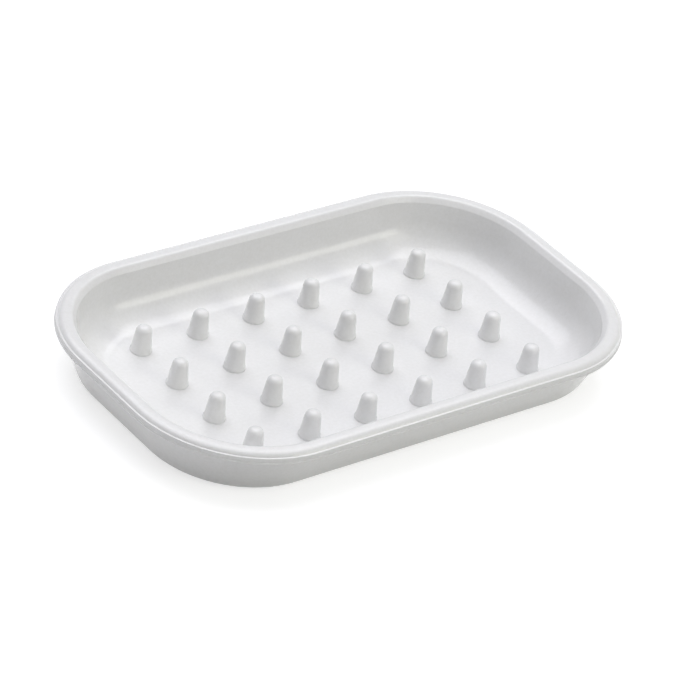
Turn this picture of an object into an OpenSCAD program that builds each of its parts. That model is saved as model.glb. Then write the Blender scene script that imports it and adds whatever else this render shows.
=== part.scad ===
/* [Dish] */
// Length of the dish, over its widest edge
dish_length = 133; // [105:1:200]
// Width of the dish, over its widest edge
dish_width = 80.5; // [70:0.5:150]
// Height of the dish from its base to the top of the lip
dish_height = 14; // [12:0.1:24]
// Radius of the widest edge in plan, at each corner
corner_radius = 29.5; // [24:0.5:34]

/* [Floor and wall] */
// Thickness of the floor
floor_thickness = 1.5; // [1:0.1:2.5]
// Radius of the curve between the floor and the inside of the wall
cove_radius = 8.5; // [5:0.5:8.5]
// Lean of the wall's inner face away from upright, in degrees
inner_draft = 10; // [2:1:15]
// Lean of the wall's outer face away from upright, in degrees
outer_draft = 22; // [15:1:25]
// Distance from the widest edge in to the top of the wall's outer face
wall_inset = 1.9; // [1.5:0.1:2.5]
// Rounding of the dish's lower edge
base_round = 3; // [1:0.5:4]

/* [Rim] */
// Width of the lip, from the widest edge to the foot of its inner bevel
rim_width = 4.9; // [4.6:0.1:5.5]
// Height of the lip, from the band under it to its top
rim_height = 1.95; // [1.5:0.05:2.5]
// Distance from the widest edge in to the lip's outer face
rim_inset = 0.15; // [0.05:0.05:0.25]
// Width of the bevel on the inside of the lip
bevel_width = 1.1; // [0.5:0.1:1.3]
// Drop of the bevel on the inside of the lip
bevel_drop = 1.3; // [0.6:0.1:1.6]
// Rounding between the bevel and the top of the lip
bevel_round = 1; // [0.2:0.1:1.2]
// Rounding of the lip's crown, where it comes down to the ledge
crown_round = 1.65; // [1.2:0.05:1.8]
// Distance from the widest edge in to the crease between crown and ledge
ledge_width = 0.65; // [0.45:0.05:0.8]
// Depth of the ledge below the top of the lip
ledge_drop = 0.85; // [0.5:0.05:1.1]
// Rounding on the outer edge of the ledge
ledge_round = 0.15; // [0.05:0.05:0.25]

/* [Band under the rim] */
// Height of the band
step_height = 0.4; // [0.3:0.1:1.2]
// Rounding on the lower edge of the band
step_round = 0.1; // [0.05:0.01:0.2]

/* [Pegs] */
// Number of pegs along the dish
peg_columns = 6; // [4:1:6]
// Number of pegs across the dish
peg_rows = 4; // [2:1:4]
// Distance from the dish's ends in to the centres of the outer pegs
peg_end_margin = 26.5; // [25:0.5:34]
// Distance from the dish's long sides in to the centres of the outer pegs
peg_side_margin = 18.875; // [18.5:0.125:25]
// Height of a peg above the floor
peg_height = 6.65; // [4:0.05:9]
// Radius of a peg's foot, where it meets the floor
peg_foot_radius = 2.7; // [2.45:0.05:3]
// Radius of a peg just above its foot
peg_base_radius = 2.4; // [2:0.05:2.6]
// Radius of a peg at its shoulder, below the rounded tip
peg_shoulder_radius = 1.85; // [1.5:0.05:2]
// Rounding between a peg's side and its tip
peg_tip_round = 1.25; // [0.8:0.05:1.4]
// Height of the flare at a peg's foot
peg_foot_height = 0.7; // [0.3:0.05:1]

/* [Hidden] */
$fn = 96;
edge_facets = 48;

// Where each straight side ends and the corner begins
straight_x = dish_length - 2 * corner_radius;
straight_y = dish_width - 2 * corner_radius;

// Heights of the joints between the regions
rim_bottom = dish_height - rim_height;
step_bottom = rim_bottom - step_height;
cove_z = floor_thickness + cove_radius;
cove_top = cove_z - cove_radius * sin(inner_draft);

// The pegs share out the length and width between their margins
peg_pitch_along = (dish_length - 2 * peg_end_margin) / (peg_columns - 1);
peg_pitch_across = (dish_width - 2 * peg_side_margin) / (peg_rows - 1);

// The section's x runs outward, and is corner_radius at the widest edge
rim_inner_x = corner_radius - rim_width;
cove_x = inner_x(cove_top) - cove_radius * cos(inner_draft);

peg_names = [for (row = [1:peg_rows], column = [1:peg_columns]) str("peg_", row, "_", column)];

// Place of the wall's inner face at a height
function inner_x(z) = rim_inner_x - (dish_height - bevel_drop - z) * tan(inner_draft);
// Place of the wall's outer face at a height
function outer_x(z) = corner_radius - wall_inset - (step_bottom - z) * tan(outer_draft);

// Part of a disc between two angles
module pie(radius, from, to) {
    reach = 2 * radius;
    turns = [from, (from + to) / 2, to];
    intersection() {
        circle(radius);
        polygon([[0, 0], for (turn = turns) [reach * cos(turn), reach * sin(turn)]]);
    }
}

// Carry a section round the four sides and corners of the dish
module around() {
    for (half_turn = [0, 180]) rotate([0, 0, half_turn]) {
        translate([straight_x / 2, straight_y / 2, 0]) rotate_extrude(angle = 90) children();
        translate([-straight_x / 2, straight_y / 2, 0]) rotate([0, 0, 90]) rotate_extrude(angle = 90) children();
        translate([straight_x / 2, straight_y / 2, 0]) rotate([90, 0, 0]) linear_extrude(straight_y) children();
        translate([-straight_x / 2, straight_y / 2, 0]) rotate([90, 0, 90]) linear_extrude(straight_x) children();
    }
}

// Flat bottom, out to where the curve of the wall begins
module floor_panel() {
    color("whitesmoke") linear_extrude(floor_thickness) {
        square([straight_x + 2 * cove_x, straight_y], center = true);
        square([straight_x, straight_y + 2 * cove_x], center = true);
        for (side_x = [-1, 1], side_y = [-1, 1])
            translate([side_x * straight_x / 2, side_y * straight_y / 2]) circle(cove_x);
    }
}

// Lower part of the wall: hollowed by the cove inside, rounded at the base outside
module cove_section() {
    tangent_z = base_round * (1 - sin(outer_draft));
    base_x = outer_x(tangent_z) - base_round * cos(outer_draft);
    difference() {
        union() {
            polygon([
                [cove_x, 0],
                [base_x, 0],
                [base_x, base_round],
                [outer_x(tangent_z), tangent_z],
                [outer_x(cove_top), cove_top],
                [cove_x, cove_top]
            ]);
            translate([base_x, base_round]) pie(base_round, -90, -outer_draft);
        }
        translate([cove_x, cove_z]) circle(cove_radius);
    }
}

module cove() {
    color("whitesmoke") around() cove_section();
}

// Wall from the cove up to the lip, thicker towards the top
module wall_section() {
    polygon([
        [inner_x(cove_top), cove_top],
        [outer_x(cove_top), cove_top],
        [outer_x(rim_bottom), rim_bottom],
        [inner_x(rim_bottom), rim_bottom]
    ]);
}

module wall() {
    color("whitesmoke") around() wall_section();
}

// Fine band under the lip, which stands out from the wall
module step_section() {
    round_x = corner_radius - step_round;
    round_z = step_bottom + step_round;
    polygon([
        [outer_x(rim_bottom), rim_bottom],
        [outer_x(step_bottom), step_bottom],
        [round_x, step_bottom],
        [round_x, round_z],
        [corner_radius, round_z],
        [corner_radius, rim_bottom]
    ]);
    translate([round_x, round_z]) pie(step_round, -90, 0);
}

module rim_step() {
    color("gainsboro") around() step_section();
}

// Lip, with a bevel inside, a crown on top and a narrow ledge outside
module rim_section() {
    ledge_z = dish_height - ledge_drop;
    crown_z = dish_height - crown_round;
    crown_x = corner_radius - ledge_width - sqrt(crown_round * crown_round - (ledge_z - crown_z) * (ledge_z - crown_z));
    face_x = corner_radius - rim_inset;
    ledge_round_x = face_x - ledge_round;
    ledge_round_z = ledge_z - ledge_round;
    bevel_turn = atan2(bevel_drop, bevel_width);
    bevel_x = rim_inner_x + bevel_width + bevel_round * tan(bevel_turn / 2);
    bevel_z = dish_height - bevel_round;
    polygon([
        [inner_x(rim_bottom), rim_bottom],
        [face_x, rim_bottom],
        [face_x, ledge_round_z],
        [ledge_round_x, ledge_round_z],
        [ledge_round_x, ledge_z],
        [crown_x, ledge_z],
        [crown_x, dish_height],
        [bevel_x, dish_height],
        [bevel_x, bevel_z],
        [bevel_x - bevel_round * sin(bevel_turn), bevel_z + bevel_round * cos(bevel_turn)],
        [rim_inner_x, dish_height - bevel_drop]
    ]);
    intersection() {
        translate([crown_x, crown_z]) circle(crown_round, $fn = edge_facets);
        translate([crown_x, ledge_z]) square([crown_round, ledge_drop]);
    }
    translate([ledge_round_x, ledge_round_z]) pie(ledge_round, 0, 90, $fn = edge_facets);
    translate([bevel_x, bevel_z]) pie(bevel_round, 90, 90 + bevel_turn, $fn = edge_facets);
}

module rim() {
    color("white") around() rim_section();
}

// One stud: a flared foot, a tapering side and a rounded tip
module peg() {
    shoulder_z = peg_height - peg_tip_round;
    tip_x = peg_shoulder_radius - peg_tip_round;
    color("ghostwhite") rotate_extrude() {
        polygon([
            [0, 0],
            [peg_foot_radius, 0],
            [peg_base_radius, peg_foot_height],
            [peg_shoulder_radius, shoulder_z],
            [tip_x, shoulder_z],
            [tip_x, peg_height],
            [0, peg_height]
        ]);
        translate([tip_x, shoulder_z]) pie(peg_tip_round, 0, 90);
    }
}

// Peg at its place in the grid, with row 1 at the front and column 1 at the left
module placed_peg(row, column) {
    along = (column - (peg_columns + 1) / 2) * peg_pitch_along;
    back = (row - (peg_rows + 1) / 2) * peg_pitch_across;
    translate([along, back, floor_thickness]) peg();
}

floor_panel();
cove();
wall();
rim_step();
rim();
for (row = [1:peg_rows], column = [1:peg_columns])
    placed_peg(row, column);
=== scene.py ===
from math import asin, atan2, cos, degrees, pi, radians, sin, tan

import bmesh
import bpy
from mathutils import Matrix, Vector


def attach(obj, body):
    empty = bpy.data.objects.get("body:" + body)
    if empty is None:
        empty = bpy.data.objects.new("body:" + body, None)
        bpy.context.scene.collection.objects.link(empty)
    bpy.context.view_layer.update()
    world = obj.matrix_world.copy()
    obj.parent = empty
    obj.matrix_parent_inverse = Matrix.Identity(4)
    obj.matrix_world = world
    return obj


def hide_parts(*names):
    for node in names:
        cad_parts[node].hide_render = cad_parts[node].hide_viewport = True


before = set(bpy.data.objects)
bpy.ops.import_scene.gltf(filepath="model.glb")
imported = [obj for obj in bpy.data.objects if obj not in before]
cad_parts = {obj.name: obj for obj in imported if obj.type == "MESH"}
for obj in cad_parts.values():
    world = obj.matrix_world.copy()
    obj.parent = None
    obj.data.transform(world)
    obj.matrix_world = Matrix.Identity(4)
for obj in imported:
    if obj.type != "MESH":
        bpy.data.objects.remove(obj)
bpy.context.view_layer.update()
mm = 0.001


# Small helpers

def linearFromHex(text):
    channels = [int(text[i:i + 2], 16) / 255 for i in (1, 3, 5)]
    return [c / 12.92 if c <= 0.04045 else ((c + 0.055) / 1.055) ** 2.4 for c in channels] + [1.0]


def addNode(tree, kind, settings=None, values=None, links=None):
    node = tree.nodes.new(kind)
    for name, setting in (settings or {}).items():
        setattr(node, name, setting)
    for socket, value in (values or {}).items():
        node.inputs[socket].default_value = value
    for socket, source in (links or {}).items():
        tree.links.new(source, node.inputs[socket])
    return node


def arc(centre, radius, fromTurn, toTurn, steps):
    turns = [radians(fromTurn + (toTurn - fromTurn) * i / steps) for i in range(steps + 1)]
    return [(centre[0] + radius * cos(t), centre[1] + radius * sin(t)) for t in turns]


def newObject(name, vertices, edges, faces):
    mesh = bpy.data.meshes.new(name)
    mesh.from_pydata(vertices, edges, faces)
    piece = bpy.data.objects.new(name, mesh)
    bpy.context.scene.collection.objects.link(piece)
    return piece


def newTree(name, sockets):
    tree = bpy.data.node_groups.new(name, "GeometryNodeTree")
    tree.interface.new_socket("Geometry", in_out="INPUT", socket_type="NodeSocketGeometry")
    tree.interface.new_socket("Geometry", in_out="OUTPUT", socket_type="NodeSocketGeometry")
    for label, kind in sockets.items():
        tree.interface.new_socket(label, in_out="INPUT", socket_type=kind)
    return tree


def runTree(piece, tree, inputs):
    modifier = piece.modifiers.new(tree.name, "NODES")
    modifier.node_group = tree
    for item in tree.interface.items_tree:
        if item.in_out == "INPUT" and item.name in inputs:
            modifier[item.identifier] = inputs[item.name]
    bpy.context.view_layer.update()
    evaluated = piece.evaluated_get(bpy.context.evaluated_depsgraph_get())
    mesh = bpy.data.meshes.new_from_object(evaluated)
    piece.modifiers.remove(modifier)
    piece.data = mesh


def finishMesh(piece, sharpAngle):
    shape = bmesh.new()
    shape.from_mesh(piece.data)
    bmesh.ops.remove_doubles(shape, verts=shape.verts, dist=0.001 * mm)
    openEdges = [edge for edge in shape.edges if edge.is_boundary]
    if openEdges:
        bmesh.ops.holes_fill(shape, edges=openEdges, sides=0)
    bmesh.ops.recalc_face_normals(shape, faces=shape.faces)
    for face in shape.faces:
        face.smooth = True
    shape.to_mesh(piece.data)
    shape.free()
    piece.data.set_sharp_from_angle(angle=radians(sharpAngle))


# Camera, at the photograph's viewing angle

cameraSettings = {
    "azimuth": -43.84,
    "elevation": 33.03,
    "roll": -11.53,
    "distance": 896.15 * mm,
    "aim": (1.15 * mm, 1.22 * mm, 5.74 * mm),
    "lens": 207.84,
    "sensor": 36.0,
}


def placeCamera(settings):
    azimuth, elevation, roll = (radians(settings[k]) for k in ("azimuth", "elevation", "roll"))
    back = Vector((sin(azimuth) * cos(elevation), -cos(azimuth) * cos(elevation), sin(elevation)))
    level = back.cross(Vector((0, 0, -1))).normalized()
    down = (-back).cross(level)
    right = cos(roll) * level + sin(roll) * down
    up = sin(roll) * level - cos(roll) * down
    place = Vector(settings["aim"]) + back * settings["distance"]
    data = bpy.data.cameras.new("viewCamera")
    data.lens = settings["lens"]
    data.sensor_width = settings["sensor"]
    data.clip_start = 0.01
    camera = bpy.data.objects.new("viewCamera", data)
    camera.matrix_world = Matrix.Translation(place) @ Matrix((right, up, back)).transposed().to_4x4()
    bpy.context.scene.collection.objects.link(camera)
    bpy.context.scene.camera = camera


placeCamera(cameraSettings)
print("camera placed")


# Materials

plasticSettings = {
    "colour": "#F2F2F2",
    "shade": "#ECECEB",
    "refraction": 1.53,
    "roughness": 0.15,
    "roughnessSpread": 0.03,
    "cloudSize": 28 * mm,
    "rippleSize": 11 * mm,
    "rippleHeight": 0.05 * mm,
    "mottleSize": 0.8 * mm,
    "mottleShare": 0.55,
    "mottleRange": (0.35, 0.65),
    "grainSize": 0.5 * mm,
    "grainHeight": 0.006 * mm,
    "lightWithin": 0.12,
    "depthOfLight": 1.2 * mm,
    "tintOfDepth": (1.0, 0.95, 0.9),
}


def makeMouldedAbs(settings):
    # Glossy white ABS from a polished mould: long soft highlights that waver a little on the
    # flat floor, faint clouds and fine specks in the white, and soft light inside thin edges
    material = bpy.data.materials.new("mouldedAbs")
    material.use_nodes = True
    tree = material.node_tree
    tree.nodes.clear()
    place = addNode(tree, "ShaderNodeTexCoord").outputs["Object"]
    cloud = addNode(
        tree, "ShaderNodeTexNoise",
        values={"Scale": 1 / settings["cloudSize"], "Detail": 3, "Roughness": 0.5},
        links={"Vector": place},
    )
    ripple = addNode(
        tree, "ShaderNodeTexNoise",
        values={"Scale": 1 / settings["rippleSize"], "Detail": 2, "Roughness": 0.4},
        links={"Vector": place},
    )
    grain = addNode(
        tree, "ShaderNodeTexNoise",
        values={"Scale": 1 / settings["grainSize"], "Detail": 2, "Roughness": 0.6},
        links={"Vector": place},
    )
    mottle = addNode(
        tree, "ShaderNodeTexNoise",
        values={"Scale": 1 / settings["mottleSize"], "Detail": 2, "Roughness": 0.6},
        links={"Vector": place},
    )
    blotch = addNode(
        tree, "ShaderNodeMix",
        settings={"data_type": "FLOAT"},
        values={0: settings["mottleShare"]},
        links={2: cloud.outputs["Fac"], 3: mottle.outputs["Fac"]},
    )
    spread = addNode(
        tree, "ShaderNodeMapRange",
        values={"From Min": settings["mottleRange"][0], "From Max": settings["mottleRange"][1]},
        links={"Value": blotch.outputs[0]},
    )
    shade, clear = linearFromHex(settings["shade"]), linearFromHex(settings["colour"])
    colour = addNode(
        tree, "ShaderNodeMix",
        settings={"data_type": "RGBA"},
        values={6: shade, 7: clear},
        links={0: spread.outputs["Result"]},
    )
    rough, spreadOfRough = settings["roughness"], settings["roughnessSpread"]
    gloss = addNode(
        tree, "ShaderNodeMapRange",
        values={"To Min": rough - spreadOfRough, "To Max": rough + spreadOfRough},
        links={"Value": cloud.outputs["Fac"]},
    )
    rippleBump = addNode(
        tree, "ShaderNodeBump",
        values={"Strength": 1.0, "Distance": settings["rippleHeight"]},
        links={"Height": ripple.outputs["Fac"]},
    )
    grainBump = addNode(
        tree, "ShaderNodeBump",
        values={"Strength": 1.0, "Distance": settings["grainHeight"]},
        links={"Height": grain.outputs["Fac"], "Normal": rippleBump.outputs["Normal"]},
    )
    shader = addNode(
        tree, "ShaderNodeBsdfPrincipled",
        values={
            "IOR": settings["refraction"],
            "Subsurface Weight": settings["lightWithin"],
            "Subsurface Scale": settings["depthOfLight"],
            "Subsurface Radius": settings["tintOfDepth"],
        },
        links={
            "Base Color": colour.outputs[2],
            "Roughness": gloss.outputs["Result"],
            "Normal": grainBump.outputs["Normal"],
        },
    )
    addNode(tree, "ShaderNodeOutputMaterial", links={"Surface": shader.outputs["BSDF"]})
    return material


mouldedAbs = makeMouldedAbs(plasticSettings)
print("materials made")


# The tray: one section carried round the rounded plan

traySettings = {
    "length": 133 * mm,
    "width": 80.5 * mm,
    "height": 14 * mm,
    "cornerRadius": 29.5 * mm,
    "cornerPoints": 32,
    "floorThickness": 1.5 * mm,
    "coveRadius": 8.5 * mm,
    "innerDraft": 10,
    "rimWidth": 4.9 * mm,
    "rimHeight": 1.95 * mm,
    "rimInset": 0.2 * mm,
    "bevelWidth": 1.1 * mm,
    "bevelDrop": 1.3 * mm,
    "bevelRound": 1.0 * mm,
    "bevelFootRound": 0.5 * mm,
    "crownRound": 1.65 * mm,
    "ledgeWidth": 0.65 * mm,
    "ledgeDrop": 0.85 * mm,
    "ledgeRound": 0.15 * mm,
    "stepHeight": 0.4 * mm,
    "stepRound": 0.12 * mm,
    "wallInset": 1.9 * mm,
    "outerDraft": 22,
    "baseRound": 3 * mm,
    "flatBand": 3 * mm,
    "sharpAngle": 32,
    "steps": {"cove": 20, "bevelFoot": 4, "bevel": 8, "crown": 10, "edge": 4, "base": 12},
}


def traySection(s):
    top, floor, draft, outerDraft = s["height"], s["floorThickness"], s["innerDraft"], s["outerDraft"]
    rimBottom = top - s["rimHeight"]
    stepBottom = rimBottom - s["stepHeight"]

    def innerX(z):
        return -s["rimWidth"] - (top - s["bevelDrop"] - z) * tan(radians(draft))

    def outerX(z):
        return -s["wallInset"] - (stepBottom - z) * tan(radians(outerDraft))

    cove, bevel, foot = s["coveRadius"], s["bevelRound"], s["bevelFootRound"]
    base, crown, step = s["baseRound"], s["crownRound"], s["stepRound"]
    coveZ = floor + cove
    coveX = innerX(coveZ - cove * sin(radians(draft))) - cove * cos(radians(draft))
    slope = atan2(s["bevelDrop"], s["bevelWidth"])
    bevelX = s["bevelWidth"] - s["rimWidth"] + bevel * tan(slope / 2)
    wallTurn = pi / 2 - radians(draft)
    footReach = foot * tan((wallTurn - slope) / 2)
    footX = -s["rimWidth"] + footReach * cos(slope) + foot * sin(slope)
    footZ = top - s["bevelDrop"] + footReach * sin(slope) - foot * cos(slope)
    ledgeZ = top - s["ledgeDrop"]
    crownTurn = asin((crown - s["ledgeDrop"]) / crown)
    crownX = -s["ledgeWidth"] - crown * cos(crownTurn)
    edgeX = -s["rimInset"] - s["ledgeRound"]
    baseX = outerX(base - base * sin(radians(outerDraft))) - base * cos(radians(outerDraft))
    steps, slopeTurn = s["steps"], 90 + degrees(slope)
    points = [(coveX - s["flatBand"], floor)]
    points += arc((coveX, coveZ), cove, -90, -draft, steps["cove"])
    points += arc((footX, footZ), foot, 180 - draft, slopeTurn, steps["bevelFoot"])
    points += arc((bevelX, top - bevel), bevel, slopeTurn, 90, steps["bevel"])
    points += arc((crownX, top - crown), crown, 90, degrees(crownTurn), steps["crown"])
    points += arc((edgeX, ledgeZ - s["ledgeRound"]), s["ledgeRound"], 90, 0, steps["edge"])
    points += [(-s["rimInset"], rimBottom)]
    points += arc((-step, rimBottom - step), step, 90, 0, steps["edge"])
    points += arc((-step, stepBottom + step), step, 0, -90, steps["edge"])
    points += [(outerX(stepBottom), stepBottom)]
    points += arc((baseX, base), base, -outerDraft, -90, steps["base"])
    points += [(coveX - s["flatBand"], 0)]
    return points


def makeTray(s, material):
    points = traySection(s)
    # A profile's X lies outwards along the path and its Y points down
    links = [(i, i + 1) for i in range(len(points) - 1)]
    piece = newObject("trayShell", [(x, -z, 0) for x, z in points], links, [])
    tree = newTree("sectionRoundPlan", {
        "Length": "NodeSocketFloat",
        "Width": "NodeSocketFloat",
        "Corner radius": "NodeSocketFloat",
        "Corner points": "NodeSocketInt",
        "Material": "NodeSocketMaterial",
    })
    given = addNode(tree, "NodeGroupInput").outputs
    plan = addNode(
        tree, "GeometryNodeCurvePrimitiveQuadrilateral",
        links={"Width": given["Length"], "Height": given["Width"]},
    )
    rounded = addNode(
        tree, "GeometryNodeFilletCurve",
        settings={"mode": "POLY"},
        links={
            "Curve": plan.outputs["Curve"],
            "Count": given["Corner points"],
            "Radius": given["Corner radius"],
        },
    )
    upright = addNode(
        tree, "GeometryNodeSetCurveNormal",
        settings={"mode": "Z_UP"},
        links={"Curve": rounded.outputs["Curve"]},
    )
    section = addNode(tree, "GeometryNodeMeshToCurve", links={"Mesh": given["Geometry"]})
    swept = addNode(
        tree, "GeometryNodeCurveToMesh",
        links={"Curve": upright.outputs["Curve"], "Profile Curve": section.outputs["Curve"]},
    )
    real = addNode(tree, "GeometryNodeRealizeInstances", links={"Geometry": swept.outputs["Mesh"]})
    finished = addNode(
        tree, "GeometryNodeSetMaterial",
        links={"Geometry": real.outputs["Geometry"], "Material": given["Material"]},
    )
    addNode(tree, "NodeGroupOutput", links={"Geometry": finished.outputs["Geometry"]})
    runTree(piece, tree, {
        "Length": s["length"],
        "Width": s["width"],
        "Corner radius": s["cornerRadius"],
        "Corner points": s["cornerPoints"],
        "Material": material,
    })
    finishMesh(piece, s["sharpAngle"])
    return piece


tray = makeTray(traySettings, mouldedAbs)
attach(tray, "root")
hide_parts("floor_panel", "cove", "wall", "rim_step", "rim")
print("tray swept,", len(tray.data.polygons), "faces")


# The pegs: one turned shape, set out on a grid

pegSettings = {
    "columns": 6,
    "rows": 4,
    "pitchAlong": 16 * mm,
    "pitchAcross": 14.25 * mm,
    "floor": 1.5 * mm,
    "height": 6.65 * mm,
    "footRadius": 2.64 * mm,
    "baseRadius": 2.4 * mm,
    "footHeight": 0.75 * mm,
    "footBulge": 0.06 * mm,
    "shoulderRadius": 1.86 * mm,
    "tipRound": 1.38 * mm,
    "tipCrown": 0.12 * mm,
    "sunk": 0.4 * mm,
    "sides": 48,
    "footSteps": 8,
    "footPinch": 6,
    "tipTurns": (4, 84),
    "tipSteps": 9,
    "crownShares": (0.66, 0.33),
    "sharpAngle": 60,
}


def pegOutline(s):
    outline = [(s["footRadius"] - s["footBulge"], -s["sunk"]), (s["footRadius"] - s["footBulge"], 0)]
    for i in range(1, s["footSteps"] + 1):
        share = i / s["footSteps"]
        out = s["footRadius"] + (s["baseRadius"] - s["footRadius"]) * share
        swell = sin(pi * share) - (1 - share) ** s["footPinch"]
        outline.append((out + s["footBulge"] * swell, s["footHeight"] * share))
    shoulderZ = s["height"] - s["tipCrown"] - s["tipRound"]
    tip = arc((s["shoulderRadius"] - s["tipRound"], shoulderZ), s["tipRound"], *s["tipTurns"], s["tipSteps"])
    outline += tip
    flatRadius, flatZ = tip[-1]
    for share in s["crownShares"]:
        outline.append((flatRadius * share, flatZ + (s["height"] - flatZ) * (1 - share * share)))
    return outline


def turnedShape(name, outline, sides, top):
    vertices, faces = [], []
    for radius, z in outline:
        for k in range(sides):
            turn = 2 * pi * k / sides
            vertices.append((radius * cos(turn), radius * sin(turn), z))
    for ring in range(len(outline) - 1):
        for k in range(sides):
            a, b = ring * sides + k, ring * sides + (k + 1) % sides
            faces.append((a, b, b + sides, a + sides))
    pole = len(vertices)
    vertices.append((0, 0, top))
    last = (len(outline) - 1) * sides
    faces += [(last + k, last + (k + 1) % sides, pole) for k in range(sides)]
    faces.append(tuple(range(sides))[::-1])
    return newObject(name, vertices, [], faces)


def makePegs(s, material):
    piece = turnedShape("pegGrid", pegOutline(s), s["sides"], s["height"])
    tree = newTree("pegsOnGrid", {
        "Columns": "NodeSocketInt",
        "Rows": "NodeSocketInt",
        "Length": "NodeSocketFloat",
        "Width": "NodeSocketFloat",
        "Floor": "NodeSocketVector",
        "Material": "NodeSocketMaterial",
    })
    given = addNode(tree, "NodeGroupInput").outputs
    grid = addNode(
        tree, "GeometryNodeMeshGrid",
        links={
            "Size X": given["Length"],
            "Size Y": given["Width"],
            "Vertices X": given["Columns"],
            "Vertices Y": given["Rows"],
        },
    )
    raised = addNode(
        tree, "GeometryNodeTransform",
        links={"Geometry": grid.outputs["Mesh"], "Translation": given["Floor"]},
    )
    placed = addNode(
        tree, "GeometryNodeInstanceOnPoints",
        links={"Points": raised.outputs["Geometry"], "Instance": given["Geometry"]},
    )
    real = addNode(tree, "GeometryNodeRealizeInstances", links={"Geometry": placed.outputs["Instances"]})
    finished = addNode(
        tree, "GeometryNodeSetMaterial",
        links={"Geometry": real.outputs["Geometry"], "Material": given["Material"]},
    )
    addNode(tree, "NodeGroupOutput", links={"Geometry": finished.outputs["Geometry"]})
    runTree(piece, tree, {
        "Columns": s["columns"],
        "Rows": s["rows"],
        "Length": (s["columns"] - 1) * s["pitchAlong"],
        "Width": (s["rows"] - 1) * s["pitchAcross"],
        "Floor": (0, 0, s["floor"]),
        "Material": material,
    })
    finishMesh(piece, s["sharpAngle"])
    return piece


pegs = makePegs(pegSettings, mouldedAbs)
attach(pegs, "root")
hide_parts(*["peg_%d_%d" % (row, column) for row in range(1, 5) for column in range(1, 7)])
print("pegs set out,", len(pegs.data.polygons), "faces")


# Studio: a white floor, two large lamps above, two small ones at the front right, a low card at the left

studioSettings = {
    "floorSize": 6.0,
    "floorColour": "#DCDCDC",
    "floorGlow": 0.62,
    "glowFrom": 0.3,
    "glowTo": 1.2,
    "ambient": 0.16,
    "lampDistance": 0.9,
    "lamps": [
        {
            "name": "overheadSoftbox",
            "direction": (0.125, 0.345, 0.931),
            "size": (1.0, 1.0),
            "level": 0.76,
            "colour": "#FAFAFF",
        },
        {
            "name": "ceilingScrim",
            "direction": (0.0, 0.0, 1.0),
            "size": (1.4, 1.4),
            "level": 0.34,
            "colour": "#FAFAFF",
        },
        {
            "name": "frontSoftbox",
            "direction": (0.333, -0.714, 0.616),
            "size": (0.4, 0.4),
            "level": 0.09,
            "colour": "#FFFFF2",
        },
        {
            "name": "frontStrip",
            "direction": (0.435, -0.819, 0.375),
            "size": (0.48, 0.26),
            "level": 0.12,
            "colour": "#FFFFF2",
        },
        {
            "name": "leftCard",
            "direction": (-0.999, 0.03, 0.041),
            "size": (0.6, 0.07),
            "level": 0.09,
            "colour": "#FFFFFF",
        },
    ],
}


def whiteSeen(tree):
    # 1 for what looks at the white background: the camera, reflections and clear parts
    path = addNode(tree, "ShaderNodeLightPath")
    seen = addNode(
        tree, "ShaderNodeMath",
        settings={"operation": "ADD"},
        links={0: path.outputs["Is Camera Ray"], 1: path.outputs["Is Glossy Ray"]},
    )
    return addNode(
        tree, "ShaderNodeMath",
        settings={"operation": "ADD", "use_clamp": True},
        links={0: seen.outputs["Value"], 1: path.outputs["Is Transmission Ray"]},
    ).outputs["Value"]


def makeFloor(s):
    half = s["floorSize"] / 2
    corners = [(-half, -half, 0), (half, -half, 0), (half, half, 0), (-half, half, 0)]
    floor = newObject("studioFloor", corners, [], [(0, 1, 2, 3)])
    material = bpy.data.materials.new("paperSweep")
    material.use_nodes = True
    tree = material.node_tree
    tree.nodes.clear()
    diffuse = addNode(tree, "ShaderNodeBsdfDiffuse", values={"Color": linearFromHex(s["floorColour"])})
    # The glow rises to white away from the dish, where the lamps no longer reach
    place = addNode(tree, "ShaderNodeTexCoord").outputs["Object"]
    reach = addNode(tree, "ShaderNodeVectorMath", settings={"operation": "LENGTH"}, links={0: place})
    rise = addNode(
        tree, "ShaderNodeMapRange",
        values={"From Min": s["glowFrom"], "From Max": s["glowTo"], "To Min": s["floorGlow"], "To Max": 1.0},
        links={"Value": reach.outputs["Value"]},
    )
    level = addNode(
        tree, "ShaderNodeMath",
        settings={"operation": "MULTIPLY"},
        links={0: whiteSeen(tree), 1: rise.outputs["Result"]},
    )
    glow = addNode(tree, "ShaderNodeEmission", links={"Strength": level.outputs["Value"]})
    both = addNode(
        tree, "ShaderNodeAddShader",
        links={0: diffuse.outputs["BSDF"], 1: glow.outputs["Emission"]},
    )
    addNode(tree, "ShaderNodeOutputMaterial", links={"Surface": both.outputs["Shader"]})
    floor.data.materials.append(material)


def makeWorld(s):
    world = bpy.data.worlds.new("studio")
    world.use_nodes = True
    tree = world.node_tree
    tree.nodes.clear()
    level = addNode(
        tree, "ShaderNodeMapRange",
        values={"To Min": s["ambient"], "To Max": 1.0},
        links={"Value": whiteSeen(tree)},
    )
    sky = addNode(tree, "ShaderNodeBackground", links={"Strength": level.outputs["Result"]})
    addNode(tree, "ShaderNodeOutputWorld", links={"Surface": sky.outputs["Background"]})
    bpy.context.scene.world = world


def makeLamps(s):
    for lamp in s["lamps"]:
        data = bpy.data.lights.new(lamp["name"], "AREA")
        data.shape = "RECTANGLE"
        data.size, data.size_y = lamp["size"]
        data.energy = lamp["level"] * pi ** 2 * s["lampDistance"] ** 2
        data.color = linearFromHex(lamp["colour"])[:3]
        direction = Vector(lamp["direction"]).normalized()
        light = bpy.data.objects.new(lamp["name"], data)
        light.location = direction * s["lampDistance"]
        light.rotation_euler = direction.to_track_quat("Z", "Y").to_euler()
        bpy.context.scene.collection.objects.link(light)


makeFloor(studioSettings)
makeWorld(studioSettings)
makeLamps(studioSettings)
bpy.context.scene.view_settings.view_transform = "Standard"
print("studio lit")
